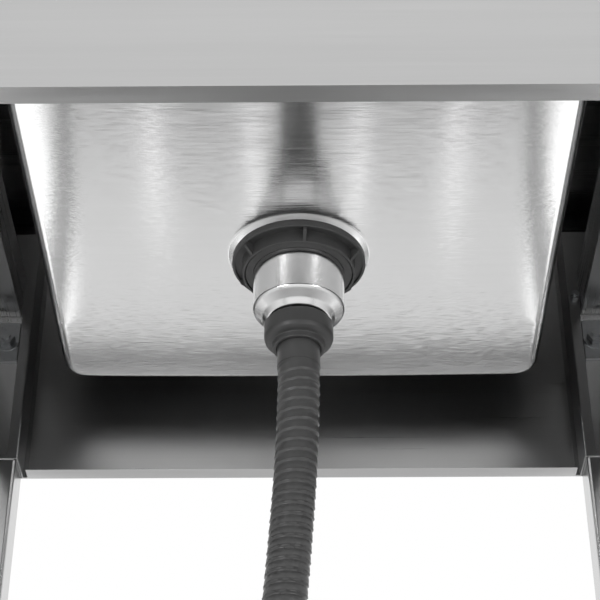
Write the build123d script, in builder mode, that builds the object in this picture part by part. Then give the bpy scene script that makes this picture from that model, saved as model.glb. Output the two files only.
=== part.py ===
"""Free-standing stainless wash tank: folded deck and aprons, a pressed bowl with a basket
strainer, a corrugated drain hose, and four square legs on levelling feet.

Millimetres, +X to the right, +Y to the back, +Z up. The origin is on the floor, under the
middle of the deck.
"""
import math
import os

from build123d import *

os.makedirs("parts", exist_ok=True)

# ---------------------------------------------------------------- driving sizes
overall_width = 676.0
overall_depth = 610.0
deck_height = 865.0
sheet = 1.2                  # stainless sheet of the deck, bowl, aprons and side rails
fit_gap = 0.3                # clearance between pieces that slide together

# deck
skirt_drop = 30.0            # how far the deck's edge turns down over the aprons
deck_corner = 6.2
deck_edge = 5.0              # bend radius along the deck's top edge
throat_drop = 12.0           # the collar that carries the bowl
throat_edge = 6.0            # bend radius where the deck rolls down into the bowl
tap_hole_radius = 17.5
rear_ledge_centre = 269.5

# bowl, outside sizes
bowl_width = 490.0
bowl_length = 472.0
bowl_corner = 24.0
bowl_edge = 12.0             # bend radius between the walls and the bottom
bowl_bottom = 619.0          # underside of the bowl beside the drain recess
bowl_fall = 1.0 / 60.0       # slope of the bottom towards the drain
drain_y = 14.5
recess_radius = 67.4
recess_foot_radius = 62.6
recess_depth = 5.0
drain_hole_radius = 45.5

# aprons
apron_bottom = 544.0
apron_top = 857.0
apron_corner = 5.0
hem_width = 18.9             # bottom edge, folded inwards
hem_half_length_x = 287.5
hem_half_length_y = 260.5

# legs and what holds them
leg_size = 40.0
leg_wall = 1.5
leg_corner = 4.0
leg_x = 313.8
leg_y = 282.0
leg_bottom = 31.0
leg_top = 800.0
bracket_sheet = 1.5
bracket_top = 833.0
bracket_flange = 4.5
window_width = 26.6
window_foot = 548.0
window_top = 720.0
nut_plate_width = 25.0
nut_plate_height = 49.0
nut_plate_thick = 3.0
nut_plate_foot = 662.5
leg_bolt_x = 316.8           # the bolts stand a little outside the legs' centre line
leg_bolt_height = 688.0
bolt_radius = 5.0
fender_radius = 13.3
fender_thick = 2.0
nut_width_m10 = 17.0
nut_thick_m10 = 8.0

# side rails
rail_bottom = 721.0
rail_height = 55.0
rail_inner_x = 305.0

# levelling feet
foot_radius = 23.0
foot_height = 10.0
foot_stud_top = 85.0
foot_hex_width = 15.0
jam_nut_foot = 22.0
jam_nut_thick = 6.0
plug_flange = 3.0
plug_depth = 25.0
stud_bore_radius = bolt_radius + fit_gap

# drain fitting, heights of faces and radii
flange_radius = 57.0
cup_radius = 42.0
cup_wall = 1.0
cup_rim = 557.6              # where the cup's straight wall turns in
cup_foot = 541.6
spigot_radius = 22.0
spigot_bore = 19.8
spigot_end = 521.0
locknut_radius = 62.0
locknut_collar_radius = 52.5
locknut_collar_foot = 597.0
locknut_ribs = 6
tail_nut_radius = 31.4
tail_nut_top = 542.0
tail_nut_foot = 514.0
washer_thick = 2.5
cuff_flange_foot = 516.0
guide_foot = 537.0           # cross that guides the basket's post
guide_thick = 4.0
guide_hub_radius = 6.5

# basket, standing on its stopper
basket_floor = 558.5
basket_floor_radius = 30.0
basket_rim_radius = 40.2
stopper_foot = 544.0
stopper_top = 549.5
post_foot = 530.0
post_radius = 3.0

# drain hose
hose_radius = 19.35
hose_wall = 2.6
cuff_foot = 495.0

# free hose: points of its route, from the cuff down to the floor
hose_route = [
    (0.0, drain_y, cuff_foot),
    (0.0, drain_y, 430.0),
    (-8.0, 20.5, 310.0),
    (-20.0, 29.5, 180.0),
    (-74.0, 66.0, 76.0),
    (-170.0, 119.0, 20.8),
    (-270.0, 158.0, 21.4),
]
end_cuff_length = 32.0
end_cuff_radius = 20.6
end_fitting_length = 26.0
end_fitting_radius = 20.0    # 40 mm waste spigot

corner_names = {(-1, -1): "front_left", (1, -1): "front_right", (-1, 1): "rear_left", (1, 1): "rear_right"}
drain_axis = Axis((0, drain_y, 0), (0, 0, 1))
drain_plane = Plane(origin=(0, drain_y, 0), x_dir=(1, 0, 0), z_dir=(0, -1, 0))
deck_underside = deck_height - sheet
bowl_top = deck_underside - throat_drop


def save(shape, name):
    """Label a finished piece and write it as its own STEP file."""
    shape.label = name
    export_step(shape, "parts/" + name + ".step")


def turned(outline, axis=drain_axis, plane=drain_plane):
    """A piece turned on an axis from its half outline, given as (radius, height) corners."""
    with BuildPart() as piece:
        with BuildSketch(plane):
            with BuildLine():
                Polyline(*outline, close=True)
            make_face()
        revolve(axis=axis)
    return piece.part


# ---------------------------------------------------------------- bowl
def bowl_block(inset):
    """Solid block in the bowl's outer form, with every face drawn in by the inset."""
    floor_height = bowl_bottom + inset
    reach = 400.0
    with BuildPart() as block:
        with BuildSketch(drain_plane):
            with BuildLine():
                Polyline(
                    (0, floor_height - recess_depth),
                    (recess_foot_radius - inset / 2, floor_height - recess_depth),
                    (recess_radius - inset / 2, floor_height),
                    (reach, floor_height + bowl_fall * (reach - recess_radius)),
                    (reach, bowl_top + 1),
                    (0, bowl_top + 1),
                    close=True,
                )
            make_face()
        revolve(axis=drain_axis)
        with BuildSketch(Plane.XY.offset(floor_height - recess_depth - 1)):
            RectangleRounded(bowl_width - 2 * inset, bowl_length - 2 * inset, bowl_corner - inset)
        extrude(amount=bowl_top - floor_height + recess_depth + 1, mode=Mode.INTERSECT)
        foot = block.edges().filter_by(
            lambda e: e.center().Z < floor_height + 12 and (e.center() - Vector(0, drain_y, e.center().Z)).length > 150
            and e.bounding_box().size.Z < 8
        )
        fillet(foot, radius=bowl_edge - inset)
    return block.part


with BuildPart() as bowl:
    add(bowl_block(0))
    add(bowl_block(sheet), mode=Mode.SUBTRACT)
    with Locations((0, drain_y, bowl_bottom)):
        Cylinder(drain_hole_radius, 20, mode=Mode.SUBTRACT)
save(bowl.part, "bowl")


# ---------------------------------------------------------------- deck
def lid_block(inset):
    """Solid block in the deck's outer form, with every face drawn in by the inset."""
    with BuildPart() as block:
        with BuildSketch(Plane.XY.offset(deck_height - skirt_drop)):
            RectangleRounded(overall_width - 2 * inset, overall_depth - 2 * inset, deck_corner - inset)
        extrude(amount=skirt_drop - inset)
        fillet(block.faces().sort_by(Axis.Z)[-1].edges(), radius=deck_edge - inset)
    return block.part


with BuildPart() as deck:
    add(lid_block(0))
    add(lid_block(sheet), mode=Mode.SUBTRACT)
    with BuildSketch(Plane.XY.offset(bowl_top)):
        RectangleRounded(bowl_width, bowl_length, bowl_corner)
    extrude(amount=throat_drop + sheet / 2)
    throat_root = deck.edges().filter_by(
        lambda e: abs(e.center().Z - deck_underside) < 0.01
        and abs(e.center().X) < bowl_width / 2 + 1 and abs(e.center().Y) < bowl_length / 2 + 1
    )
    fillet(throat_root, radius=throat_edge - sheet)
    with BuildSketch(Plane.XY.offset(bowl_top)):
        RectangleRounded(bowl_width - 2 * sheet, bowl_length - 2 * sheet, bowl_corner - sheet)
    extrude(amount=throat_drop + 2 * sheet, mode=Mode.SUBTRACT)
    throat_lip = deck.edges().filter_by(
        lambda e: abs(e.center().Z - deck_height) < 0.01
        and abs(e.center().X) < bowl_width / 2 and abs(e.center().Y) < bowl_length / 2
    )
    fillet(throat_lip, radius=throat_edge)
    with Locations((0, rear_ledge_centre, deck_height)):
        Cylinder(tap_hole_radius, 4 * sheet, mode=Mode.SUBTRACT)
save(deck.part, "deck")

# ---------------------------------------------------------------- aprons
apron_half_x = overall_width / 2 - sheet
apron_half_y = overall_depth / 2 - sheet
side_panel_half = apron_half_y - apron_corner


def apron(cut_x, cut_y, cut_width, cut_length, hem_x, hem_y, hem_size_x, hem_size_y):
    """One apron: a stretch of the rounded sheet ring with its hem folded inwards."""
    with BuildPart() as panel:
        with BuildSketch(Plane.XY.offset(apron_bottom)):
            RectangleRounded(2 * apron_half_x, 2 * apron_half_y, apron_corner)
            RectangleRounded(
                2 * apron_half_x - 2 * sheet, 2 * apron_half_y - 2 * sheet, apron_corner - sheet, mode=Mode.SUBTRACT
            )
            with Locations((cut_x, cut_y)):
                Rectangle(cut_width, cut_length, mode=Mode.INTERSECT)
        extrude(amount=apron_top - apron_bottom)
        with BuildSketch(Plane.XY.offset(apron_bottom)):
            with Locations((hem_x, hem_y)):
                Rectangle(hem_size_x, hem_size_y)
        extrude(amount=sheet)
    return panel.part


for side, name in ((-1, "front_apron"), (1, "rear_apron")):
    panel = apron(
        0, side * (apron_half_y - apron_corner / 2), 2 * apron_half_x, apron_corner,
        0, side * (apron_half_y - hem_width / 2), 2 * hem_half_length_x, hem_width,
    )
    save(panel, name)
for side, name in ((-1, "left_apron"), (1, "right_apron")):
    panel = apron(
        side * (apron_half_x - apron_corner / 2), 0, apron_corner, 2 * side_panel_half,
        side * (apron_half_x - hem_width / 2), 0, hem_width, 2 * hem_half_length_y,
    )
    save(panel, name)

# ---------------------------------------------------------------- leg brackets
bracket_inner = leg_x - leg_size / 2 - fit_gap - bracket_sheet
bracket_outer = apron_half_x - sheet
lip_back = leg_y - leg_size / 2
lip_front = lip_back - bracket_sheet
apron_face = apron_half_y - sheet
outer_wall_end = apron_half_y - apron_corner


def leg_bracket(side_x, side_y):
    """Folded channel round the top of a leg, open towards the corner of the aprons."""
    with BuildPart() as bracket:
        with BuildSketch(Plane.XY.offset(apron_bottom)):
            with BuildLine():
                Polyline(
                    (bracket_inner - bracket_flange, apron_face),
                    (bracket_inner - bracket_flange, apron_face - bracket_sheet),
                    (bracket_inner, apron_face - bracket_sheet),
                    (bracket_inner, lip_front),
                    (bracket_outer, lip_front),
                    (bracket_outer, outer_wall_end),
                    (bracket_outer - bracket_sheet, outer_wall_end),
                    (bracket_outer - bracket_sheet, lip_back),
                    (bracket_inner + bracket_sheet, lip_back),
                    (bracket_inner + bracket_sheet, apron_face),
                    close=True,
                )
            make_face()
        extrude(amount=bracket_top - apron_bottom)
        bends = bracket.edges().filter_by(Axis.Z).filter_by(
            lambda e: abs(e.center().Y - lip_front) < 0.01
        )
        fillet(bends, radius=bracket_sheet * 1.2)
        with Locations((leg_bolt_x, lip_front, (window_foot + window_top) / 2)):
            Box(window_width, 4 * bracket_sheet, window_top - window_foot, mode=Mode.SUBTRACT)
    return placed(bracket.part, side_x, side_y)


def placed(shape, side_x, side_y):
    """The piece drawn for the rear right corner, mirrored to another corner."""
    if side_x < 0:
        shape = mirror(shape, Plane.YZ)
    if side_y < 0:
        shape = mirror(shape, Plane.XZ)
    return shape


# ---------------------------------------------------------------- legs and their end plugs
def leg_tube():
    with BuildPart() as leg:
        with BuildSketch(Plane.XY.offset(leg_bottom)):
            with Locations((leg_x, leg_y)):
                RectangleRounded(leg_size, leg_size, leg_corner)
                RectangleRounded(
                    leg_size - 2 * leg_wall, leg_size - 2 * leg_wall, leg_corner - leg_wall, mode=Mode.SUBTRACT
                )
        extrude(amount=leg_top - leg_bottom)
    return leg.part


def leg_plug():
    """Nylon plug in the bottom of a leg, bored for the foot's stud."""
    inside = leg_size - 2 * leg_wall - 0.2
    with BuildPart() as plug:
        with BuildSketch(Plane.XY.offset(leg_bottom - plug_flange)):
            with Locations((leg_x, leg_y)):
                RectangleRounded(leg_size, leg_size, leg_corner)
        extrude(amount=plug_flange)
        with BuildSketch(Plane.XY.offset(leg_bottom)):
            with Locations((leg_x, leg_y)):
                RectangleRounded(inside, inside, leg_corner - leg_wall)
        extrude(amount=plug_depth)
        with Locations((leg_x, leg_y, leg_bottom)):
            Cylinder(stud_bore_radius, 4 * plug_depth, mode=Mode.SUBTRACT)
    return plug.part


# ---------------------------------------------------------------- levelling feet
def hexagon_prism(x, y, foot, height, width, bore):
    """Hexagonal nut body, measured across its flats, with a plain bore."""
    with BuildPart() as nut:
        with BuildSketch(Plane.XY.offset(foot)):
            with Locations((x, y)):
                RegularPolygon(width / 2, 6, major_radius=False)
                if bore > 0:
                    Circle(bore, mode=Mode.SUBTRACT)
        extrude(amount=height)
    return nut.part


def foot_pad():
    """Nylon pad, recessed for the disc at the stud's foot."""
    axis = Axis((leg_x, leg_y, 0), (0, 0, 1))
    plane = Plane(origin=(leg_x, leg_y, 0), x_dir=(1, 0, 0), z_dir=(0, -1, 0))
    outline = [
        (0, 0), (foot_radius - 1, 0), (foot_radius, 1), (foot_radius, 4), (foot_radius - 9, foot_height),
        (9, foot_height), (9, foot_height - 3), (0, foot_height - 3),
    ]
    return turned(outline, axis, plane)


def foot_stud():
    """Threaded stud with its hexagonal spanner collar and the disc that sits in the pad."""
    hex_foot = foot_height
    hex_height = jam_nut_foot - 0.5 - hex_foot
    with BuildPart() as stud:
        with Locations((leg_x, leg_y, (foot_height - 3 + foot_stud_top) / 2)):
            Cylinder(bolt_radius, foot_stud_top - foot_height + 3)
        with Locations((leg_x, leg_y, foot_height - 1.5)):
            Cylinder(8.9, 3)
        add(hexagon_prism(leg_x, leg_y, hex_foot, hex_height, foot_hex_width, 0))
    return stud.part


# ---------------------------------------------------------------- leg bolts, seen from inside
def facing_front(radius, depth, bore, y_back, height, x=leg_bolt_x):
    """Round disc with a bore, standing on a face that looks to the front."""
    with BuildPart() as disc:
        with BuildSketch(Plane(origin=(x, y_back, height), x_dir=(1, 0, 0), z_dir=(0, -1, 0))):
            Circle(radius)
            if bore > 0:
                Circle(bore, mode=Mode.SUBTRACT)
        extrude(amount=depth)
    return disc.part


def nut_facing_front(width, depth, bore, y_back, height, x=leg_bolt_x):
    """Hexagonal nut on a face that looks to the front, with its corners turned off."""
    with BuildPart() as nut:
        with BuildSketch(Plane(origin=(x, y_back, height), x_dir=(1, 0, 0), z_dir=(0, -1, 0))):
            RegularPolygon(width / 2, 6, major_radius=False)
            Circle(bore, mode=Mode.SUBTRACT)
        extrude(amount=depth)
    return nut.part


def nut_plate():
    with BuildPart() as plate:
        with Locations((leg_bolt_x, lip_back - nut_plate_thick / 2, nut_plate_foot + nut_plate_height / 2)):
            Box(nut_plate_width, nut_plate_thick, nut_plate_height)
        with Locations((leg_bolt_x, lip_back, leg_bolt_height)):
            Cylinder(bolt_radius + 0.2, 20, rotation=(90, 0, 0), mode=Mode.SUBTRACT)
    return plate.part


plate_face = lip_back - nut_plate_thick
washer_face = plate_face - fender_thick
nut_face = washer_face - nut_thick_m10

corners = list(corner_names)
for corner in corners:
    save(leg_bracket(*corner), "leg_bracket_" + corner_names[corner])
    save(placed(leg_tube(), *corner), "leg_" + corner_names[corner])
    save(placed(leg_plug(), *corner), "leg_plug_" + corner_names[corner])
    save(placed(foot_pad(), *corner), "foot_pad_" + corner_names[corner])
    save(placed(foot_stud(), *corner), "foot_stud_" + corner_names[corner])


def four(shape, name):
    """Write one STEP with the same small piece at all four corners."""
    save(Compound(children=[placed(shape, *corner) for corner in corners]), name)


four(hexagon_prism(leg_x, leg_y, jam_nut_foot, jam_nut_thick, nut_width_m10, stud_bore_radius), "foot_jam_nuts")
four(nut_plate(), "leg_nut_plates")
four(facing_front(fender_radius, fender_thick, bolt_radius + 0.2, plate_face, leg_bolt_height), "leg_washers")
four(nut_facing_front(nut_width_m10, nut_thick_m10, bolt_radius, washer_face, leg_bolt_height), "leg_nuts")
four(facing_front(bolt_radius, lip_back - nut_face + 2.5, 0, lip_back, leg_bolt_height), "leg_weld_studs")


# ---------------------------------------------------------------- side rails
def side_rail(side):
    """Folded channel from front bracket to rear bracket, its open side against the apron."""
    depth = bracket_outer - rail_inner_x
    with BuildPart() as rail:
        with BuildSketch(Plane.XZ.offset(lip_front)):
            with Locations((side * (rail_inner_x + depth / 2), rail_bottom + rail_height / 2)):
                Rectangle(depth, rail_height)
            with Locations((side * (rail_inner_x + sheet + depth / 2), rail_bottom + rail_height / 2)):
                Rectangle(depth, rail_height - 2 * sheet, mode=Mode.SUBTRACT)
        extrude(amount=-2 * lip_front)
    return rail.part


save(side_rail(-1), "left_side_rail")
save(side_rail(1), "right_side_rail")

# ---------------------------------------------------------------- bonding bolt on one bracket
bonding_x = bracket_inner + 7.5
bonding_height = 743.0
save(facing_front(5.2, 1.2, 3.1, lip_front, bonding_height, bonding_x), "bonding_washer")
save(nut_facing_front(9.0, 5.0, 3.0, lip_front - 1.2, bonding_height, bonding_x), "bonding_nut")
save(facing_front(3.0, 10.0, 0, lip_front, bonding_height, bonding_x), "bonding_stud")

# ---------------------------------------------------------------- strainer above the bowl bottom
recess_floor = bowl_bottom - recess_depth + sheet
gasket_top = recess_floor + 1.5
save(
    turned([(46, recess_floor), (56, recess_floor), (56, gasket_top), (46, gasket_top)]),
    "flange_gasket",
)
cup_inside = cup_radius - cup_wall
strainer_body = turned([
    (cup_radius, gasket_top),
    (flange_radius - 1, gasket_top),
    (flange_radius, gasket_top - 0.6),
    (flange_radius, gasket_top + 0.4),
    (flange_radius - 3, gasket_top + 1.4),
    (cup_inside + 2, gasket_top + 1.2),
    (cup_inside, gasket_top),
    (cup_inside, cup_rim + 0.4),
    (cup_inside - 1.2, cup_rim - 1.2),
    (cup_inside - 8.6, cup_rim - 6.7),
    (cup_inside - 12.1, cup_rim - 11.8),
    (spigot_bore, cup_foot + 1.0),
    (spigot_bore, spigot_end),
    (spigot_radius, spigot_end),
    (spigot_radius, cup_foot),
    (cup_radius - 12.5, cup_rim - 12.8),
    (cup_radius - 9.0, cup_rim - 7.8),
    (cup_radius - 1.6, cup_rim - 2.2),
    (cup_radius, cup_rim),
])
save(strainer_body, "strainer_body")

# ---------------------------------------------------------------- clamping set under the bowl
under_face = bowl_bottom - recess_depth
save(
    turned([(44, under_face - 2.2), (57, under_face - 2.2), (57, under_face), (46, under_face), (44, under_face - 0.5)]),
    "rubber_washer",
)
save(
    turned([(43.5, under_face - 3.0), (57, under_face - 3.0), (57, under_face - 2.2), (43.5, under_face - 2.2)]),
    "friction_ring",
)

nut_roof = under_face - 3.0
roof_thick = 1.4
rim_foot = under_face - 6.2
rib_start = -84.0
rib_thick = 3.0
with BuildPart() as locknut:
    add(turned([
        (cup_radius + 0.3, nut_roof),
        (58.5, nut_roof),
        (58.5, under_face - 0.2),
        (locknut_radius, under_face - 0.2),
        (locknut_radius, rim_foot + 0.8),
        (locknut_radius - 0.8, rim_foot),
        (59.6, rim_foot),
        (59.6, nut_roof - roof_thick),
        (locknut_collar_radius, nut_roof - roof_thick),
        (locknut_collar_radius, locknut_collar_foot + 0.5),
        (locknut_collar_radius - 0.5, locknut_collar_foot),
        (50.4, locknut_collar_foot),
        (50.4, locknut_collar_foot + 4.0),
        (49.2, locknut_collar_foot + 4.0),
        (49.2, locknut_collar_foot + 1.0),
        (cup_radius + 0.3, locknut_collar_foot + 1.0),
    ]))
    for rib in range(locknut_ribs):
        angle = math.radians(rib_start + 360.0 * rib / locknut_ribs)
        outwards = (math.cos(angle), math.sin(angle), 0)
        sideways = (math.sin(angle), -math.cos(angle), 0)
        with BuildSketch(Plane(origin=(0, drain_y, 0), x_dir=outwards, z_dir=sideways)):
            with BuildLine():
                Polyline(
                    (locknut_collar_radius - 0.4, locknut_collar_foot + 1.0),
                    (locknut_collar_radius + 0.4, locknut_collar_foot + 1.0),
                    (60.0, rim_foot - 3.0),
                    (60.0, nut_roof - roof_thick + 0.2),
                    (locknut_collar_radius - 0.4, nut_roof - roof_thick + 0.2),
                    close=True,
                )
            make_face()
        extrude(amount=rib_thick / 2, both=True)
save(locknut.part, "locknut")

# ---------------------------------------------------------------- tail: washer, nut, cuff
tail_washer = turned([
    (spigot_bore, spigot_end - washer_thick), (spigot_radius, spigot_end - washer_thick),
    (spigot_radius, spigot_end), (spigot_bore, spigot_end),
])
save(tail_washer, "tail_washer")

with BuildPart() as tail_nut:
    add(turned([
        (spigot_radius + 0.2, cup_foot - 2.0),
        (tail_nut_radius - 1.8, tail_nut_top),
        (tail_nut_radius, tail_nut_top - 2.0),
        (tail_nut_radius, tail_nut_foot + 12.5),
        (tail_nut_radius - 1.2, tail_nut_foot + 8.8),
        (tail_nut_radius - 4.0, tail_nut_foot + 6.6),
        (24.0, tail_nut_foot + 5.8),
        (23.6, tail_nut_foot + 0.7),
        (22.8, tail_nut_foot),
        (hose_radius + 0.6, tail_nut_foot),
        (hose_radius + 0.6, cuff_flange_foot),
        (spigot_radius + 0.2, cuff_flange_foot),
    ]))
    with Locations((0, drain_y, tail_nut_foot + 19.5)):
        with PolarLocations(tail_nut_radius, 8, start_angle=-98.0):
            Box(1.2, 3.0, 11.0)
save(tail_nut.part, "tail_nut")

cuff_bore = hose_radius - hose_wall
hose_cuff = turned([
    (cuff_bore, cuff_foot),
    (hose_radius, cuff_foot),
    (hose_radius, cuff_flange_foot + 0.2),
    (spigot_radius, cuff_flange_foot + 0.2),
    (spigot_radius, spigot_end - washer_thick),
    (cuff_bore, spigot_end - washer_thick),
])
save(hose_cuff, "hose_cuff")

# ---------------------------------------------------------------- guide for the basket's post
with BuildPart() as post_guide:
    with BuildSketch(Plane(origin=(0, drain_y, guide_foot), z_dir=(0, 0, 1))):
        Circle(spigot_bore)
        Circle(spigot_bore - 1.6, mode=Mode.SUBTRACT)
        Circle(guide_hub_radius)
        with PolarLocations(0, 3):
            with Locations((spigot_bore / 2, 0)):
                Rectangle(spigot_bore - 2, 2.6)
        Circle(post_radius + 0.4, mode=Mode.SUBTRACT)
    extrude(amount=guide_thick)
save(post_guide.part, "post_guide")

# ---------------------------------------------------------------- basket that lifts out
basket_rim = gasket_top + 0.6
with BuildPart() as basket:
    add(turned([
        (5.0, basket_floor),
        (basket_floor_radius, basket_floor),
        (38.2, basket_floor + 11.0),
        (39.2, basket_rim - 2.0),
        (basket_rim_radius, basket_rim - 1.4),
        (basket_rim_radius, basket_rim),
        (38.8, basket_rim),
        (38.2, basket_rim - 1.6),
        (37.3, basket_floor + 11.5),
        (basket_floor_radius - 0.5, basket_floor + 1.0),
        (5.0, basket_floor + 1.0),
    ]))
    for row in range(4):
        with Locations((0, drain_y, basket_floor + 18 + 8 * row)):
            with PolarLocations(38.3, 20, start_angle=9.0 * (row % 2)):
                Cylinder(2.0, 6, rotation=(0, 90, 0), mode=Mode.SUBTRACT)
    for ring_radius, count in ((13.0, 8), (20.5, 14)):
        with Locations((0, drain_y, basket_floor)):
            with PolarLocations(ring_radius, count):
                Cylinder(2.0, 6, mode=Mode.SUBTRACT)
save(basket.part, "basket")

post_top = basket_rim - 5.0
knob_top = basket_rim + 1.2
save(
    turned([
        (0, post_foot), (post_radius, post_foot), (post_radius, stopper_top), (5.0, stopper_top),
        (5.0, basket_floor + 5), (3.4, basket_floor + 6), (3.4, post_top), (0, post_top),
    ]),
    "basket_post",
)
save(
    turned([
        (3.4, knob_top - 14), (6.0, knob_top - 14), (9.5, knob_top - 7), (10.0, knob_top - 4),
        (8.8, knob_top - 1.4), (5.0, knob_top - 0.2), (0, knob_top), (0, post_top), (3.4, post_top),
    ]),
    "basket_knob",
)
save(
    turned([
        (post_radius, stopper_foot), (21.0, stopper_foot), (25.5, stopper_top - 0.8), (25.5, stopper_top),
        (post_radius, stopper_top),
    ]),
    "basket_stopper",
)


# ---------------------------------------------------------------- free drain hose
def hose_path(points):
    """Straight runs joined by arcs, each as large as its two runs allow."""
    radii = []
    for before, at, after in zip(points, points[1:], points[2:]):
        run_in, run_out = Vector(*at) - Vector(*before), Vector(*after) - Vector(*at)
        half_turn = math.radians(run_in.get_angle(run_out)) / 2
        radii.append(0.45 * min(run_in.length, run_out.length) / math.tan(half_turn))
    print("hose arc radii", [round(radius) for radius in radii])
    return radii


radii = hose_path(hose_route)
with BuildPart() as drain_hose:
    with BuildLine():
        path = FilletPolyline(*hose_route, radius=radii)
    with BuildSketch(Plane(origin=path @ 0, z_dir=path % 0)):
        Circle(hose_radius)
        Circle(hose_radius - hose_wall, mode=Mode.SUBTRACT)
    sweep()
hose_section = math.pi * (hose_radius ** 2 - (hose_radius - hose_wall) ** 2)
print("hose length", round(path.length, 1), "volume ratio",
      round(drain_hose.part.volume / (hose_section * path.length), 4))
save(drain_hose.part, "drain_hose")

end_point = Vector(*hose_route[-1])
end_direction = (end_point - Vector(*hose_route[-2])).normalized()
with BuildPart() as hose_end_cuff:
    with BuildSketch(Plane(origin=end_point, z_dir=end_direction)):
        Circle(end_cuff_radius)
        Circle(hose_radius - hose_wall, mode=Mode.SUBTRACT)
    extrude(amount=end_cuff_length)
save(hose_end_cuff.part, "hose_end_cuff")

fitting_start = end_point + end_direction * end_cuff_length
with BuildPart() as hose_end_fitting:
    with BuildSketch(Plane(origin=fitting_start, z_dir=end_direction)):
        Circle(end_fitting_radius)
        Circle(16.0, mode=Mode.SUBTRACT)
    extrude(amount=end_fitting_length)
save(hose_end_fitting.part, "hose_end_fitting")
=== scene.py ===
"""Free-standing stainless wash tank, dressed for rendering around its CAD frame.

Metres, +X to the right, +Y to the back, +Z up, with the origin on the floor under the deck.
"""
import math

import bmesh
import bpy
import numpy as np
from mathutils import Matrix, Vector


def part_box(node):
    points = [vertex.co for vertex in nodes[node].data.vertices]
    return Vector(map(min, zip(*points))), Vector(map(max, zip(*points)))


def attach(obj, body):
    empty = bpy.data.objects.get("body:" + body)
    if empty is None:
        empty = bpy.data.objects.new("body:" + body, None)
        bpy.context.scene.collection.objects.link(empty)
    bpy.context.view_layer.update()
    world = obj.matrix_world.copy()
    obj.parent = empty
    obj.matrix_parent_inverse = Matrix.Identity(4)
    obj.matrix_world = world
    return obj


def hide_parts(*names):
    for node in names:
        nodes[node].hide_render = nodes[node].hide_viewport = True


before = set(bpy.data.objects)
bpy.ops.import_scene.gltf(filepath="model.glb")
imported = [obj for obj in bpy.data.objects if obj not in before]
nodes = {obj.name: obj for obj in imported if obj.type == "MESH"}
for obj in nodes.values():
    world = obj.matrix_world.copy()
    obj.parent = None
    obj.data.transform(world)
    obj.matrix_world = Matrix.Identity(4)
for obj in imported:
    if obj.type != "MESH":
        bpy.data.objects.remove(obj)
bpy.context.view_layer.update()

# ------------------------------------------------------------------ camera
# A long lens looks up into the underside of the tank from in front of it, tilted well back, so
# that the drain fitting stands in the middle and the rear apron's hem runs along the bottom.
LENS = 101.4
SENSOR = 36.0
CAMERA_BACK = 1.271          # from the drain's axis, towards the front
CAMERA_ASIDE = 0.0122        # from the drain's axis, towards the right
CAMERA_HEIGHT = -0.321
CAMERA_PITCH = 35.0
CAMERA_YAW = 0.5

cup_low, cup_high = (np.array(corner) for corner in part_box("strainer_body"))
DRAIN = ((cup_low[0] + cup_high[0]) / 2, (cup_low[1] + cup_high[1]) / 2)

lens = bpy.data.cameras.new("camera")
lens.sensor_width = SENSOR
lens.lens = LENS
lens.clip_start = 0.01
camera = bpy.data.objects.new("camera", lens)
camera.location = (DRAIN[0] + CAMERA_ASIDE, DRAIN[1] - CAMERA_BACK, CAMERA_HEIGHT)
camera.rotation_euler = (math.radians(90 + CAMERA_PITCH), 0, math.radians(CAMERA_YAW))
bpy.context.scene.collection.objects.link(camera)
bpy.context.scene.camera = camera

# ------------------------------------------------------------------ drain hose
# A spiral hose of soft grey plastic, 38.7 mm over its ridges. It hangs from the cuff under the
# strainer, leans off to the left and lies down on the floor, and ends in a plain waste spigot.
HOSE_ROUTE = (
    (0.000, 0.0145, 0.4950),
    (0.000, 0.0145, 0.4300),
    (-0.008, 0.0205, 0.3100),
    (-0.020, 0.0295, 0.1800),
    (-0.074, 0.0660, 0.0760),
    (-0.170, 0.1190, 0.0208),
    (-0.270, 0.1580, 0.0214),
)
HOSE_RADIUS = 0.01935
HOSE_VALLEY = 0.0171
HOSE_BORE = 0.0158
HOSE_PITCH = 0.0100
HOSE_STEP = 0.00085          # between one ring of the mesh and the next
HOSE_SIDES = 64
PLAIN_END = 0.012            # the ridges rise over this length from the cuff
BELLY_SHARE = 0.66
RIB_SHARE = 0.34
RIB_PLACE = 0.80
RIB_WIDTH = 0.06
TAU = 2 * math.pi


def smooth_route(points, order=3):
    """The points that a curve with those control points passes, read from an unbevelled spline."""
    data = bpy.data.curves.new("route", "CURVE")
    data.dimensions = "3D"
    data.resolution_u = 64
    spline = data.splines.new("NURBS")
    spline.points.add(len(points) - 1)
    for place, point in zip(spline.points, points):
        place.co = (*point, 1.0)
    spline.order_u = order
    spline.use_endpoint_u = True
    holder = bpy.data.objects.new("route", data)
    mesh = bpy.data.meshes.new_from_object(holder)
    path = np.array([vertex.co[:] for vertex in mesh.vertices])
    bpy.data.objects.remove(holder)
    bpy.data.meshes.remove(mesh)
    return path


def evenly_spaced(path, step):
    """Points along the path at an even spacing near the step, and the distance to each."""
    along = np.concatenate([[0], np.cumsum(np.linalg.norm(np.diff(path, axis=0), axis=1))])
    distance = np.linspace(0, along[-1], int(round(along[-1] / step)) + 1)
    return np.stack([np.interp(distance, along, path[:, axis]) for axis in range(3)], axis=-1), distance


def carried_frames(path):
    """Two directions across the path at each point, carried along it without twisting.

    Each step takes the last direction, less its part along the new tangent, made one long.
    """
    tangent = np.gradient(path, axis=0)
    tangent /= np.linalg.norm(tangent, axis=1, keepdims=True)
    across = np.cross(tangent[0], (0, 1, 0))
    first = np.zeros_like(path)
    for index, direction in enumerate(tangent):
        across = across - direction * np.dot(across, direction)
        across /= np.linalg.norm(across)
        first[index] = across
    return first, np.cross(tangent, first)


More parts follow.
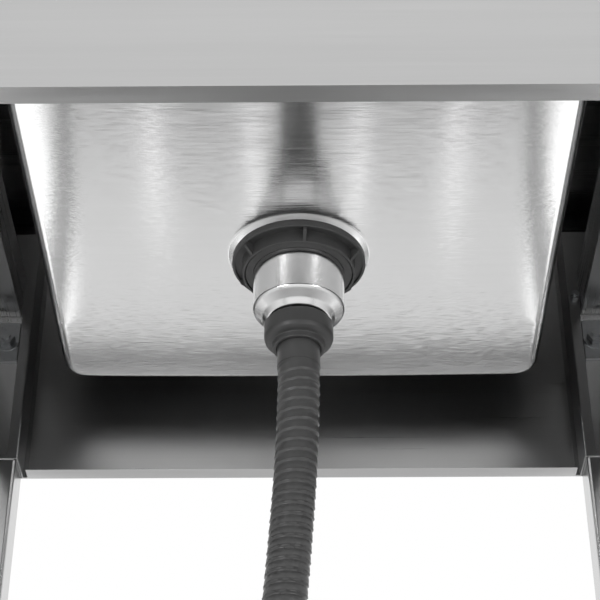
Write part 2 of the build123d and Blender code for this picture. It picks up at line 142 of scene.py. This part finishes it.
def spiral_radius(distance, angle):
    """The hose's radius at a distance along it and an angle round it.

    The wall bellies out between one valley and the next, as a rounded sine of the phase, and a
    thin rib stands on each belly's lower side. The phase turns once round the hose per pitch.
    """
    phase = (distance / HOSE_PITCH - angle / TAU) % 1.0
    belly = np.sin(math.pi * phase) ** 0.45
    rib = np.exp(-((phase - RIB_PLACE) / RIB_WIDTH) ** 2)
    return HOSE_VALLEY + (HOSE_RADIUS - HOSE_VALLEY) * (BELLY_SHARE * belly + RIB_SHARE * rib)


def rings_along(centres, first, second, angle, radius):
    """Rings of points: each centre, plus the cosine and the sine of the angle times the radius."""
    return (
        centres[:, None, :]
        + first[:, None, :] * (np.cos(angle) * radius)[..., None]
        + second[:, None, :] * (np.sin(angle) * radius)[..., None]
    )


def grid_faces(rows, columns, wrap_rows=False):
    """Quads over a grid of points stored row by row.

    Columns close on themselves, so each row is a ring, and the rows may close too.
    """
    row = np.arange(rows if wrap_rows else rows - 1)
    row, column = np.meshgrid(row, np.arange(columns), indexing="ij")
    next_row, next_column = (row + 1) % rows, (column + 1) % columns
    quads = np.stack(
        [row * columns + column, row * columns + next_column,
         next_row * columns + next_column, next_row * columns + column], axis=-1,
    )
    return quads.reshape(-1, 4).tolist()


def mesh_object(name, points, faces, smooth_angle):
    """A mesh object from an array of points and a list of faces, smooth except across sharp edges."""
    mesh = bpy.data.meshes.new(name)
    mesh.from_pydata(np.asarray(points, dtype=float).tolist(), [], faces)
    mesh.update()
    mesh.polygons.foreach_set("use_smooth", np.ones(len(mesh.polygons), dtype=bool))
    mesh.set_sharp_from_angle(angle=math.radians(smooth_angle))
    piece = bpy.data.objects.new(name, mesh)
    bpy.context.scene.collection.objects.link(piece)
    return piece


def closed_piece(name, rings, smooth_angle):
    """A piece whose rings of points follow one another and end where they began, facing outwards."""
    faces = grid_faces(len(rings), rings.shape[1], wrap_rows=True)
    piece = mesh_object(name, rings.reshape(-1, 3), faces, smooth_angle)
    mesh = bmesh.new()
    mesh.from_mesh(piece.data)
    bmesh.ops.recalc_face_normals(mesh, faces=mesh.faces)
    mesh.to_mesh(piece.data)
    mesh.free()
    return piece


def coat(piece, material):
    """Gives a piece its one material."""
    piece.data.materials.clear()
    piece.data.materials.append(material)


def stand_in(piece, material, node_name):
    """Gives a piece made here its material and slot, fixed to the tank in place of a CAD node."""
    coat(piece, material)
    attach(piece, "tank")
    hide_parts(node_name)


def bevel(piece, width):
    """Rounds a piece's sharp edges by a modifier, with its normals kept flat on the large faces."""
    modifier = piece.modifiers.new("edges", "BEVEL")
    modifier.width = width
    modifier.segments = 2
    modifier.limit_method = "ANGLE"
    modifier.angle_limit = math.radians(35.0)
    modifier.harden_normals = True


class Socket:
    """An output socket that can be added to, subtracted from and multiplied inside one node tree."""

    def __init__(self, graph, output):
        self.graph = graph
        self.output = output

    def __add__(self, other):
        return self.graph.math("ADD", self, other)

    def __radd__(self, other):
        return self.graph.math("ADD", other, self)

    def __sub__(self, other):
        return self.graph.math("SUBTRACT", self, other)

    def __rsub__(self, other):
        return self.graph.math("SUBTRACT", other, self)

    def __mul__(self, other):
        return self.graph.math("MULTIPLY", self, other)

    def __rmul__(self, other):
        return self.graph.math("MULTIPLY", other, self)

    def remapped(self, low, high, new_low, new_high):
        """This value's way from low to high, clamped, as a value from new_low to new_high."""
        return self.graph.node(
            "ShaderNodeMapRange",
            {"Value": self, "From Min": low, "From Max": high, "To Min": new_low, "To Max": new_high},
        )


class Graph:
    """The node tree of a material or the world, built by naming each node and what goes into it."""

    def __init__(self, owner, finish="ShaderNodeOutputMaterial"):
        owner.use_nodes = True
        self.owner = owner
        self.tree = owner.node_tree
        self.tree.nodes.clear()
        self.finish = self.tree.nodes.new(finish)

    def node(self, kind, inputs=None, output=0, **settings):
        """Makes one node, sets its options and then its inputs, and returns one of its outputs."""
        made = self.tree.nodes.new(kind)
        for key, value in settings.items():
            setattr(made, key, value)
        for key, value in (inputs or {}).items():
            if isinstance(value, Socket):
                self.tree.links.new(value.output, made.inputs[key])
            else:
                made.inputs[key].default_value = value
        return Socket(self, made.outputs[output])

    def math(self, operation, first, second):
        """One arithmetic step on two values."""
        return self.node("ShaderNodeMath", {0: first, 1: second}, operation=operation)

    def noise(self, scale, detail, roughness, stretch=(1, 1, 1)):
        """Cloudy noise from 0 to 1, drawn out along the axes whose stretch is small."""
        here = self.node("ShaderNodeTexCoord", output="Object")
        place = self.node("ShaderNodeMapping", {"Vector": here, "Scale": stretch})
        return self.node(
            "ShaderNodeTexNoise",
            {"Vector": place, "Scale": scale, "Detail": detail, "Roughness": roughness}, output="Fac",
        )

    def shade(self, value, dark, light):
        """A colour blended from dark to light by a value from 0 to 1."""
        return self.node(
            "ShaderNodeMix", {0: value, 6: (*dark, 1), 7: (*light, 1)}, output=2, data_type="RGBA",
        )

    def bump(self, height, strength, distance):
        """A normal tipped by the slope of a height."""
        return self.node("ShaderNodeBump", {"Height": height, "Strength": strength, "Distance": distance})

    def end(self, shader):
        """Feeds a shader to the tree's output and returns the tree's owner."""
        self.tree.links.new(shader.output, self.finish.inputs["Surface"])
        return self.owner

    def principled(self, colour, roughness, metallic, **more):
        """One Principled shader; underscores in the names of more sockets stand for spaces."""
        more = {key.replace("_", " "): value for key, value in more.items()}
        return self.node(
            "ShaderNodeBsdfPrincipled",
            {"Base Color": colour, "Roughness": roughness, "Metallic": metallic, **more},
        )


def grey(level, warmth=0.0):
    """A neutral colour, a little warmer or cooler."""
    return (level * (1 + warmth), level, level * (1 - warmth))


def moulded(name, level, roughness, grain=220.0):
    """Moulded plastic: fine orange-peel grain, and slow flow marks in its grey."""
    graph = Graph(bpy.data.materials.new(name))
    peel = graph.noise(grain, 3.0, 0.55)
    flow = graph.noise(26.0, 3.0, 0.6, (1, 1, 2.5))
    tone = peel * 0.35 + flow * 0.65
    colour = graph.shade(tone, grey(level * 0.78), grey(level * 1.22))
    rough = tone.remapped(0.3, 0.7, roughness * 0.85, roughness * 1.2)
    normal = graph.bump(peel, 0.4, 0.00006)
    return graph.end(graph.principled(colour, rough, 0.0, Normal=normal))


hose_path, hose_distance = evenly_spaced(smooth_route(HOSE_ROUTE), HOSE_STEP)
hose_first, hose_second = carried_frames(hose_path)
around = np.linspace(0, TAU, HOSE_SIDES, endpoint=False)
ridged = spiral_radius(hose_distance[:, None], around[None, :])
ease = np.clip(hose_distance / PLAIN_END, 0, 1)[:, None]
outer_radius = (HOSE_RADIUS - 0.0004) * (1 - ease) + ridged * ease
outer_rings = rings_along(hose_path, hose_first, hose_second, around, outer_radius)
way_back = slice(None, None, -12)
inner_rings = rings_along(
    hose_path[way_back], hose_first[way_back], hose_second[way_back], around,
    np.full_like(outer_radius[way_back], HOSE_BORE),
)
hose_plastic = moulded("hose_plastic", 0.060, 0.36, grain=160.0)
hose = closed_piece("corrugated_hose", np.concatenate([outer_rings, inner_rings]), 60.0)
stand_in(hose, hose_plastic, "drain_hose")
for name in ("hose_end_cuff", "hose_end_fitting"):
    coat(nodes[name], hose_plastic)
    bevel(nodes[name], 0.0006)
coat(nodes["hose_cuff"], hose_plastic)

# ------------------------------------------------------------------ bowl
# One pressed sheet: rounded walls, a wide bend at the foot of them, and a bottom that falls gently
# to the drain. It shines along its width, because the sheet was brushed that way before pressing.
SHEET = 0.0012
BOWL_CORNER = 0.024
BOWL_EDGE = 0.012
RECESS_DEPTH = 0.005
RECESS_RADIUS = 0.066
FALL = 1 / 60
LIFT = 0.0022                # how far the bottom bows up beside the side walls
LIFT_WIDTH = 0.046
LIFT_START = -0.03           # from here back, the bowed strip narrows to nothing
LIFT_LENGTH = 0.16
RING_POINTS = 512

bowl_low, bowl_high = (np.array(corner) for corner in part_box("bowl"))
BOTTOM = bowl_low[2] + RECESS_DEPTH


def square_ring(half_x, half_y, corner, count):
    """Points round a rounded rectangle, evenly spaced, from the middle of its right side.

    Each point's travel round the outline falls in a straight side, where it moves along it, or in
    a corner, where it turns round the corner's centre by the travel over the radius.
    """
    arc = TAU / 4 * corner
    straight_x, straight_y = half_x - corner, half_y - corner
    lengths = [straight_y, arc, 2 * straight_x, arc, 2 * straight_y, arc, 2 * straight_x, arc, straight_y]
    stops = np.concatenate([[0], np.cumsum(lengths)])
    travel = np.linspace(0, stops[-1], count, endpoint=False)
    sides = {
        0: (half_x, 0, 0, 1),
        2: (straight_x, half_y, -1, 0),
        4: (-half_x, straight_y, 0, -1),
        6: (-straight_x, -half_y, 1, 0),
        8: (half_x, -straight_y, 0, 1),
    }
    corners = {
        1: (straight_x, straight_y, 0),
        3: (-straight_x, straight_y, 1),
        5: (-straight_x, -straight_y, 2),
        7: (straight_x, -straight_y, 3),
    }
    points = np.zeros((count, 2))
    for stretch in range(len(lengths)):
        here = (travel >= stops[stretch]) & (travel < stops[stretch + 1])
        gone = travel[here] - stops[stretch]
        if stretch in sides:
            x, y, step_x, step_y = sides[stretch]
            points[here] = np.stack([x + step_x * gone, y + step_y * gone], axis=-1)
        else:
            x, y, quarter = corners[stretch]
            angle = TAU / 4 * quarter + gone / corner
            points[here] = np.stack([x + corner * np.cos(angle), y + corner * np.sin(angle)], axis=-1)
    return points


def side_lift(flat, half_x):
    """How far the bottom bows up beside the side walls: a parabola over a lens-shaped strip."""
    taper = np.clip((flat[:, 1] - LIFT_START) / LIFT_LENGTH, 0, 1)
    width = LIFT_WIDTH * np.sqrt(1 - taper ** 2) + 0.001
    reach = np.clip((np.abs(flat[:, 0]) - (half_x - BOWL_EDGE - width)) / width, 0, 1)
    return LIFT * (width / LIFT_WIDTH) * reach ** 2


def bowl_skin(inset):
    """One side of the bowl's sheet as rings of points, from the drain hole out and up the walls.

    Between the drain recess and the bend, each point lies part of the way from the recess to the
    bowl's outline. The bottom rises by the fall times the distance from the recess, and the bend
    is a quarter circle that turns it into the wall.
    """
    half_x, half_y = (bowl_high[:2] - bowl_low[:2]) / 2 - inset
    corner = BOWL_CORNER - inset
    edge = BOWL_EDGE - inset
    outline = square_ring(half_x, half_y, corner, RING_POINTS)
    foot = square_ring(half_x - edge, half_y - edge, corner - edge, RING_POINTS)
    centre = np.array(DRAIN)
    direction = foot - centre
    direction = direction / np.linalg.norm(direction, axis=1, keepdims=True)
    recess = (
        (0.0455, -RECESS_DEPTH),
        (0.0600, -RECESS_DEPTH),
        (0.0613, -0.0046),
        (0.0650, -0.0005),
        (0.0662, 0.0),
        (0.0680, 0.00002),
    )
    rings = []
    for radius, height in recess:
        level = np.full(RING_POINTS, BOTTOM + inset + height)
        rings.append(np.column_stack([centre + direction * radius, level]))
    start = rings[-1][:, :2]
    for share in np.linspace(0, 1, 61)[1:]:
        flat = start + (foot - start) * share
        away = np.linalg.norm(flat - centre, axis=1) - RECESS_RADIUS
        rings.append(np.column_stack([flat, BOTTOM + inset + away * FALL + side_lift(flat, half_x)]))
    foot_height = rings[-1][:, 2]
    for turn in np.linspace(0, TAU / 4, 9)[1:]:
        flat = foot + (outline - foot) * math.sin(turn)
        rings.append(np.column_stack([flat, foot_height + edge * (1 - math.cos(turn))]))
    wall_foot = rings[-1][:, 2]
    for share in np.linspace(0, 1, 8)[1:]:
        rings.append(np.column_stack([outline, wall_foot + (bowl_high[2] - wall_foot) * share]))
    return np.array(rings)


def pressed_steel(name, level=0.72, roughness=0.14, tilt=0.52):
    """Bowl sheet, brushed from side to side.

    The normal is tipped front to back by very fine noise that is long along the strokes, so that
    reflections stay sharp from side to side and are drawn out the other way.
    """
    graph = Graph(bpy.data.materials.new(name))
    strokes = graph.noise(2.0, 1.0, 0.5, (8, 2700, 2700))
    broad = graph.noise(3.0, 3.0, 0.55, (0.5, 60, 60))
    clouds = graph.noise(5.0, 3.0, 0.5)
    tone = broad * 0.5 + clouds * 0.5
    colour = graph.shade(tone, grey(level * 0.93), grey(level * 1.05))
    rough = tone.remapped(0.3, 0.7, roughness * 0.9, roughness * 1.15)
    swing = (strokes - 0.5) * tilt
    push = graph.node("ShaderNodeCombineXYZ", {"Y": swing, "Z": swing * 0.4})
    facing = graph.node("ShaderNodeNewGeometry", output="Normal")
    tipped = graph.node("ShaderNodeVectorMath", {0: facing, 1: push}, operation="ADD")
    normal = graph.node("ShaderNodeVectorMath", {0: tipped}, operation="NORMALIZE")
    return graph.end(graph.principled(colour, rough, 1.0, Normal=normal))


bowl = closed_piece("pressed_bowl", np.concatenate([bowl_skin(0.0), bowl_skin(SHEET)[::-1]]), 50.0)
stand_in(bowl, pressed_steel("bowl_steel"), "bowl")

# ------------------------------------------------------------------ strainer, seals and basket
# A drawn steel cup hangs through the bowl's drain hole. A large plastic lock nut draws it up
# against its seals from below, and a smaller nut on its tail holds the hose's cuff.
FLANGE_TOP = cup_high[2]
SEAT = FLANGE_TOP - 0.0014
TAIL_END = cup_low[2]
CUP_RIM = TAIL_END + 0.0366  # where the cup's straight wall turns in
NUT_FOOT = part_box("tail_nut")[0][2]
SOFT_EDGE = 0.0009


def softened(outline, radius, steps=4):
    """The closed outline with each corner replaced by a curve that starts one radius before it.

    Each new point is the corner's quadratic blend: start times (1-t) squared, plus corner times
    2t(1-t), plus end times t squared. A short side takes a smaller radius.
    """
    outline = np.asarray(outline, dtype=float)
    result = []
    for before, corner, after in zip(np.roll(outline, 1, 0), outline, np.roll(outline, -1, 0)):
        to_before, to_after = before - corner, after - corner
        reach_in = min(radius, 0.45 * np.linalg.norm(to_before))
        reach_out = min(radius, 0.45 * np.linalg.norm(to_after))
        start = corner + to_before / np.linalg.norm(to_before) * reach_in
        end = corner + to_after / np.linalg.norm(to_after) * reach_out
        for t in np.linspace(0, 1, steps):
            result.append(start * (1 - t) ** 2 + corner * 2 * t * (1 - t) + end * t ** 2)
    return np.array(result)


def turned(name, outline, segments=192):
    """A piece turned on the drain's axis: the closed outline of (radius, height) swept round it."""
    radius, height = softened(outline, SOFT_EDGE).T
    angle = np.linspace(0, TAU, segments, endpoint=False)
    rings = np.stack(
        [DRAIN[0] + np.outer(np.cos(angle), radius), DRAIN[1] + np.outer(np.sin(angle), radius),
         np.broadcast_to(height, (segments, len(height)))], axis=-1,
    )
    return closed_piece(name, rings, 50.0)


def spun_steel(name, level=0.66, roughness=0.20):
    """Deep-drawn strainer steel: fine rings round the axis, and a bright even skin."""
    graph = Graph(bpy.data.materials.new(name))
    height = graph.noise(4.0, 4.0, 0.6, (6, 6, 420))
    clouds = graph.noise(30.0, 3.0, 0.5)
    tone = height * 0.6 + clouds * 0.4
    colour = graph.shade(tone, grey(level * 0.90), grey(level * 1.08))
    rough = tone.remapped(0.3, 0.7, roughness * 0.8, roughness * 1.25)
    normal = graph.bump(height, 0.25, 0.00003)
    return graph.end(graph.principled(colour, rough, 1.0, Normal=normal, Anisotropic=0.6))


cup_steel = spun_steel("cup_steel")
nut_plastic = moulded("nut_plastic", 0.042, 0.48)
guide_plastic = moulded("guide_plastic", 0.09, 0.5)
rubber = moulded("rubber", 0.02, 0.7, grain=300.0)

cup = turned("strainer_cup", [
    (0.0420, SEAT),
    (0.0560, SEAT),
    (0.0570, SEAT - 0.0005),
    (0.0570, SEAT + 0.0004),
    (0.0540, FLANGE_TOP),
    (0.0430, SEAT + 0.0012),
    (0.0410, SEAT),
    (0.0410, CUP_RIM + 0.0004),
    (0.0398, CUP_RIM - 0.0012),
    (0.0324, CUP_RIM - 0.0067),
    (0.0289, CUP_RIM - 0.0118),
    (0.0198, CUP_RIM - 0.0150),
    (0.0198, TAIL_END),
    (0.0220, TAIL_END),
    (0.0220, CUP_RIM - 0.0160),
    (0.0295, CUP_RIM - 0.0128),
    (0.0330, CUP_RIM - 0.0078),
    (0.0404, CUP_RIM - 0.0022),
    (0.0420, CUP_RIM),
])
stand_in(cup, cup_steel, "strainer_body")
hose_nut = turned("hose_nut", [
    (0.0222, NUT_FOOT + 0.0256),
    (0.0296, NUT_FOOT + 0.0280),
    (0.0314, NUT_FOOT + 0.0260),
    (0.0314, NUT_FOOT + 0.0125),
    (0.0302, NUT_FOOT + 0.0088),
    (0.0274, NUT_FOOT + 0.0066),
    (0.0240, NUT_FOOT + 0.0058),
    (0.0236, NUT_FOOT + 0.0007),
    (0.0228, NUT_FOOT),
    (0.01995, NUT_FOOT),
    (0.01995, NUT_FOOT + 0.0020),
    (0.0222, NUT_FOOT + 0.0020),
])
stand_in(hose_nut, nut_plastic, "tail_nut")
for name in ("basket", "basket_post"):
    coat(nodes[name], cup_steel)
for name in ("locknut", "basket_knob"):
    coat(nodes[name], nut_plastic)
    bevel(nodes[name], 0.0004)
for name in ("flange_gasket", "rubber_washer", "tail_washer", "basket_stopper"):
    coat(nodes[name], rubber)
for name in ("friction_ring", "post_guide"):
    coat(nodes[name], guide_plastic)

# ------------------------------------------------------------------ deck, aprons and rails
# Folded sheet. The deck is a lid with its edges turned down; the aprons hang inside it, and each
# has its bottom edge folded inwards. A channel runs along each side between the leg brackets.


def brushed_steel(name, grain, level, roughness):
    """Sheet steel with a straight brushed grain along one axis.

    The grain is noise squeezed a few hundred times harder across the brush strokes than along
    them. It tips the surface, and varies its grey and its roughness; slow clouds vary it more.
    """
    graph = Graph(bpy.data.materials.new(name))
    fine_stretch = [1.2 if axis == grain else 260 for axis in "xyz"]
    wide_stretch = [0.5 if axis == grain else 40 for axis in "xyz"]
    fine = graph.noise(5.0, 4.0, 0.6, fine_stretch)
    wide = graph.noise(3.0, 3.0, 0.55, wide_stretch)
    clouds = graph.noise(3.5, 3.0, 0.5)
    tone = fine * 0.45 + wide * 0.35 + clouds * 0.20
    colour = graph.shade(tone, grey(level * 0.90), grey(level * 1.10))
    rough = tone.remapped(0.3, 0.7, roughness * 0.85, roughness * 1.2)
    normal = graph.bump(fine, 0.35, 0.00004)
    return graph.end(graph.principled(colour, rough, 1.0, Normal=normal, Anisotropic=0.5))


coat(nodes["deck"], brushed_steel("deck_steel", "x", 0.58, 0.28))
apron_steel = brushed_steel("apron_steel", "x", 0.48, 0.30)
for name in ("front_apron", "rear_apron"):
    coat(nodes[name], apron_steel)
    bevel(nodes[name], 0.0005)
side_steel = brushed_steel("side_steel", "y", 0.46, 0.28)
for name in ("left_apron", "right_apron", "left_side_rail", "right_side_rail"):
    coat(nodes[name], side_steel)
    bevel(nodes[name], 0.0005)

# ------------------------------------------------------------------ legs, brackets and feet
# Square tube legs stand in folded brackets, and a welded stud, a plate, a wide washer and a nut
# clamp each one behind the bracket's long window. Each leg ends in a plug and a levelling foot.
bracket_steel = brushed_steel("bracket_steel", "z", 0.36, 0.30)
leg_steel = brushed_steel("leg_steel", "z", 0.56, 0.20)


def plated(name, level=0.48, roughness=0.34):
    """Zinc-plated hardware: a bluish grey with faint mottling and darker dull spots."""
    graph = Graph(bpy.data.materials.new(name))
    mottle = graph.noise(260.0, 4.0, 0.6)
    colour = graph.shade(mottle, grey(level * 0.78, -0.02), grey(level * 1.12, -0.02))
    rough = mottle.remapped(0.3, 0.7, roughness * 0.8, roughness * 1.3)
    normal = graph.bump(mottle, 0.3, 0.00005)
    return graph.end(graph.principled(colour, rough, 1.0, Normal=normal))


zinc = plated("zinc")
for corner in ("front_left", "front_right", "rear_left", "rear_right"):
    coat(nodes["leg_" + corner], leg_steel)
    coat(nodes["leg_bracket_" + corner], bracket_steel)
    bevel(nodes["leg_bracket_" + corner], 0.0004)
    coat(nodes["leg_plug_" + corner], nut_plastic)
    bevel(nodes["leg_plug_" + corner], 0.0006)
    coat(nodes["foot_pad_" + corner], nut_plastic)
    coat(nodes["foot_stud_" + corner], zinc)
for name in ("leg_nut_plates", "leg_washers", "leg_nuts", "leg_weld_studs", "foot_jam_nuts",
             "bonding_washer", "bonding_nut", "bonding_stud"):
    coat(nodes[name], zinc)
    bevel(nodes[name], 0.0004)

# ------------------------------------------------------------------ studio floor and background
# A matt pale floor that catches the tank's shadow. It hides nothing from a camera under it, and
# the world is white to the camera and to reflections but only dim as a light.
FLOOR_HALF = 8.0
AMBIENT = 0.12


def floor_paint():
    """Matt pale paint, clear where a camera ray meets it from below."""
    graph = Graph(bpy.data.materials.new("studio_floor"))
    clouds = graph.noise(2.0, 2.0, 0.5)
    paint = graph.principled(graph.shade(clouds, grey(0.80), grey(0.82)), 0.9, 0.0)
    clear = graph.node("ShaderNodeBsdfTransparent")
    below = graph.node("ShaderNodeNewGeometry", output="Backfacing")
    seen = graph.node("ShaderNodeLightPath", output="Is Camera Ray")
    return graph.end(graph.node("ShaderNodeMixShader", {0: below * seen, 1: paint, 2: clear}))


floor_corners = [(-FLOOR_HALF, -FLOOR_HALF, 0), (FLOOR_HALF, -FLOOR_HALF, 0),
                 (FLOOR_HALF, FLOOR_HALF, 0), (-FLOOR_HALF, FLOOR_HALF, 0)]
floor = mesh_object("studio_floor", floor_corners, [(0, 1, 2, 3)], 40.0)
coat(floor, floor_paint())

world = bpy.data.worlds.new("studio")
bpy.context.scene.world = world
sky = Graph(world, "ShaderNodeOutputWorld")
seen = sky.node("ShaderNodeLightPath", output="Is Camera Ray")
for kind in ("Is Glossy Ray", "Is Transmission Ray"):
    seen = sky.math("MAXIMUM", seen, sky.node("ShaderNodeLightPath", output=kind))
strength = seen.remapped(0.0, 1.0, AMBIENT, 1.0)
sky.end(sky.node("ShaderNodeBackground", {"Color": (1, 1, 1, 1), "Strength": strength}))

# ------------------------------------------------------------------ lamps
# A wide soft lamp overhead and two low ones in front. Pale panels and four slim strips lie on
# the floor behind the tank, where the bowl's underside mirrors them.


def soft_light(name, place, target, size, power):
    """A rectangular area light that looks from its place at the target."""
    data = bpy.data.lights.new(name, "AREA")
    data.shape = "RECTANGLE"
    data.size, data.size_y = size
    data.energy = power
    lamp = bpy.data.objects.new(name, data)
    lamp.location = place
    lamp.rotation_euler = (Vector(target) - Vector(place)).to_track_quat("-Z", "Y").to_euler()
    bpy.context.scene.collection.objects.link(lamp)
    return lamp


def floor_light(name, x, y, size, power):
    """A flat light that lies on the floor and looks straight up, unseen by the camera."""
    lamp = soft_light(name, (x, y, 0.004), (x, y, 1), size, power)
    lamp.visible_camera = False


soft_light("overhead", (0.0, -0.3, 3.4), (0, 0.2, 0), (2.6, 2.0), 150)
soft_light("front_left", (-1.1, -1.5, 0.22), (0, 0, 0.56), (0.5, 0.4), 10)
soft_light("front_right", (1.2, -1.4, 0.22), (0, 0, 0.56), (0.3, 0.4), 7)
for x in (-0.66, 0.66):
    floor_light("side_panel", x, 0.80, (0.42, 0.9), 1.0)
for x in (-0.225, -0.075, 0.085, 0.23):
    floor_light("floor_strip", x, 0.56, (0.018, 0.22), 0.02)

bpy.context.scene.view_settings.view_transform = "Standard"
